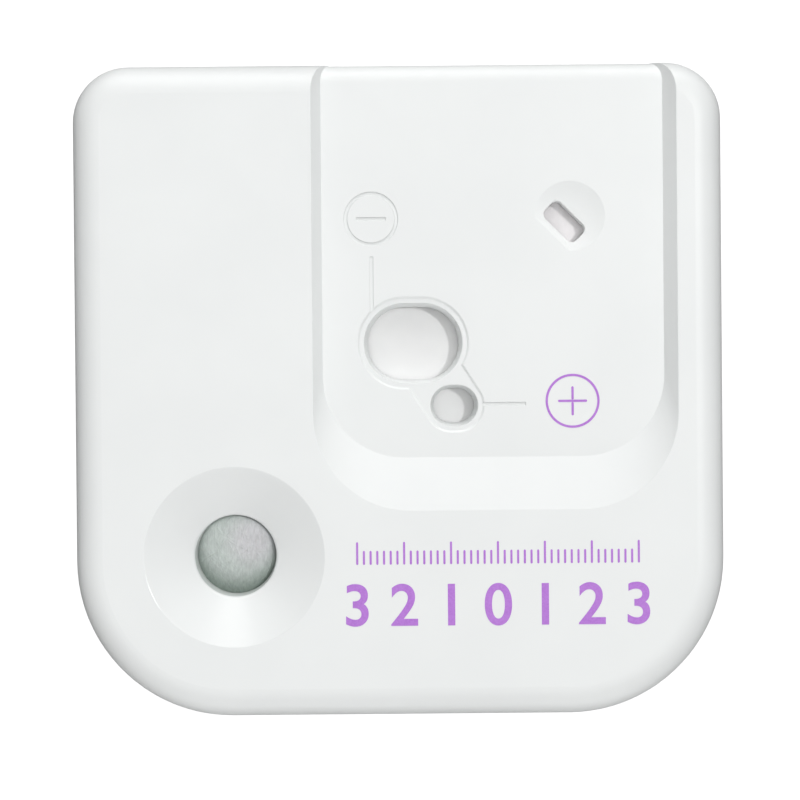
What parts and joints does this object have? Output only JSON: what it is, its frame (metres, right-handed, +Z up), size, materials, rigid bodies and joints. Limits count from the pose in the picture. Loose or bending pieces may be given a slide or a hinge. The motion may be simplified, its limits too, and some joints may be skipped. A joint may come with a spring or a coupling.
{
  "type": "lateral flow test cassette",
  "caption": "Square white plastic test cassette with a round sample well, a sunken label field and windows on to an enclosed diagonal test strip.",
  "frame": {"origin": "middle of the underside", "axes": "+Z up through the thickness, +X to the right, +Y towards the back edge, where the sunken label field is open"},
  "size_m": [0.06, 0.0602, 0.0105],
  "materials": {
    "shell_plastic": "satin moulded polystyrene, white, glossier in the well",
    "card_plastic": "thin white adhesive-faced sheet",
    "membrane_sheet": "smooth matt white nitrocellulose",
    "sample_fibre": "grey-green glass fibre",
    "wick_fibre": "soft white cellulose",
    "indicator_paper": "faintly pink absorbent paper"
  },
  "bodies": {
    "root": {"top_shell": "shell_plastic", "bottom_shell": "shell_plastic", "backing_card": "card_plastic", "membrane": "membrane_sheet", "conjugate_pad": "sample_fibre", "sample_pad": "sample_fibre", "absorbent_pad": "wick_fibre", "indicator_pad": "indicator_paper"}
  },
  "joints": []
}
